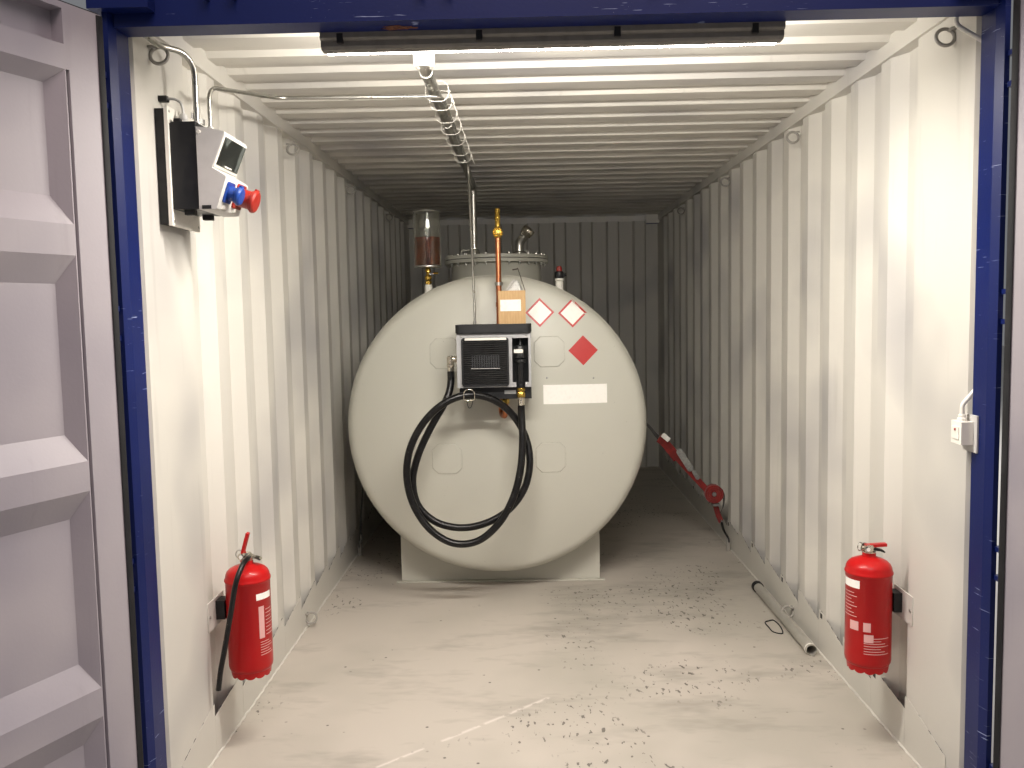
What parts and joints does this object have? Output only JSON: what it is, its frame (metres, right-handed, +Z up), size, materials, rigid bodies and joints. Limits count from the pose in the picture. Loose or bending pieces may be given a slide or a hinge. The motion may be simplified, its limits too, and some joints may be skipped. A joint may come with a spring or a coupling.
{
  "type": "containerized fuel station",
  "caption": "Twenty-foot steel container with open end doors that holds a horizontal diesel tank, a dispenser with its hose, electrics and extinguishers.",
  "frame": {"origin": "middle of the bounding box's bottom, under the corner castings", "axes": "+Y from the door end to the closed end, +X to the right as seen from the doors, +Z up"},
  "size_m": [3.2932, 7.1796, 2.591],
  "materials": {
    "frame_paint": "gloss blue enamel, dusty and scratched",
    "door_paint": "gloss blue enamel, rolled on pressed sheet",
    "rod_zinc": "galvanised, painted over",
    "inside_paint": "satin cream grey",
    "tank_paint": "satin grey",
    "vessel": "clear cylinder, half full of amber liquid",
    "brass": "turned and cast brass",
    "white_plastic": "moulded, slightly yellowed",
    "steel": "zinc plated",
    "conduit": "zinc-plated steel tube",
    "copper": "drawn copper tube",
    "dispenser_paint": "silver powder coat",
    "grille": "black moulded",
    "bracket_paint": "grey",
    "nozzle": "black grip on an aluminium body",
    "hose_rubber": "matt black, dusty",
    "box_plastic": "light grey shell",
    "lamp": "grey housing with a milky cover",
    "extinguisher": "gloss red powder coat",
    "extinguisher_bracket": "white",
    "stowed": "zinc plated, dull and dusty",
    "card": "corrugated board",
    "webbing": "woven polyester webbing"
  },
  "bodies": {
    "container": {"door_post_right": "frame_paint", "door_post_left": "frame_paint", "end_post_right": "frame_paint", "end_post_left": "frame_paint", "door_sill": "frame_paint", "door_header": "frame_paint", "end_sill": "frame_paint", "end_header": "frame_paint", "base_rail_right": "frame_paint", "base_rail_left": "frame_paint", "top_rail_right": "frame_paint", "top_rail_left": "frame_paint", "floor": "inside_paint", "side_wall_right": "inside_paint", "side_wall_left": "inside_paint", "end_wall": "inside_paint", "roof": "inside_paint", "tank_shell": "tank_paint", "tank_front_head": "tank_paint", "tank_rear_head": "tank_paint", "tank_front_saddle": "tank_paint", "tank_rear_saddle": "tank_paint", "manhole_neck": "tank_paint", "manhole_cover": "tank_paint", "leak_vessel": "vessel", "leak_vessel_valve": "brass", "suction_valve": "brass", "hose_coupling": "brass", "hose_outlet": "brass", "overfill_sensor": "white_plastic", "light_switch": "white_plastic", "distribution_board": "white_plastic", "fill_pipe": "steel", "vent_pipe": "steel", "supply_conduit": "conduit", "dispenser_conduit": "conduit", "suction_line": "copper", "dispenser": "dispenser_paint", "dispenser_grille": "grille", "dispenser_bracket": "bracket_paint", "nozzle": "nozzle", "delivery_hose": "hose_rubber", "left_extinguisher_hose": "hose_rubber", "right_extinguisher_hose": "hose_rubber", "distribution_box": "box_plastic", "lamp": "lamp", "left_extinguisher": "extinguisher", "right_extinguisher": "extinguisher", "left_extinguisher_bracket": "extinguisher_bracket", "right_extinguisher_bracket": "extinguisher_bracket", "stowed_pipe": "stowed", "carton": "card", "lashing_strap": "webbing"},
    "left_door": {"left_door": "door_paint", "left_door_outer_rod": "rod_zinc", "left_door_inner_rod": "rod_zinc"},
    "right_door": {"right_door": "door_paint", "right_door_outer_rod": "rod_zinc", "right_door_inner_rod": "rod_zinc"}
  },
  "joints": [
    {"name": "left_door_hinge", "type": "hinge", "parent": "container", "child": "left_door", "pos_m": [-1.207, -2.45421, 0], "axis": [0, 0, 1], "range_deg": [-152, 113]},
    {"name": "right_door_hinge", "type": "hinge", "parent": "container", "child": "right_door", "pos_m": [1.207, -2.45421, 0], "axis": [0, 0, -1], "range_deg": [-152, 113]}
  ]
}
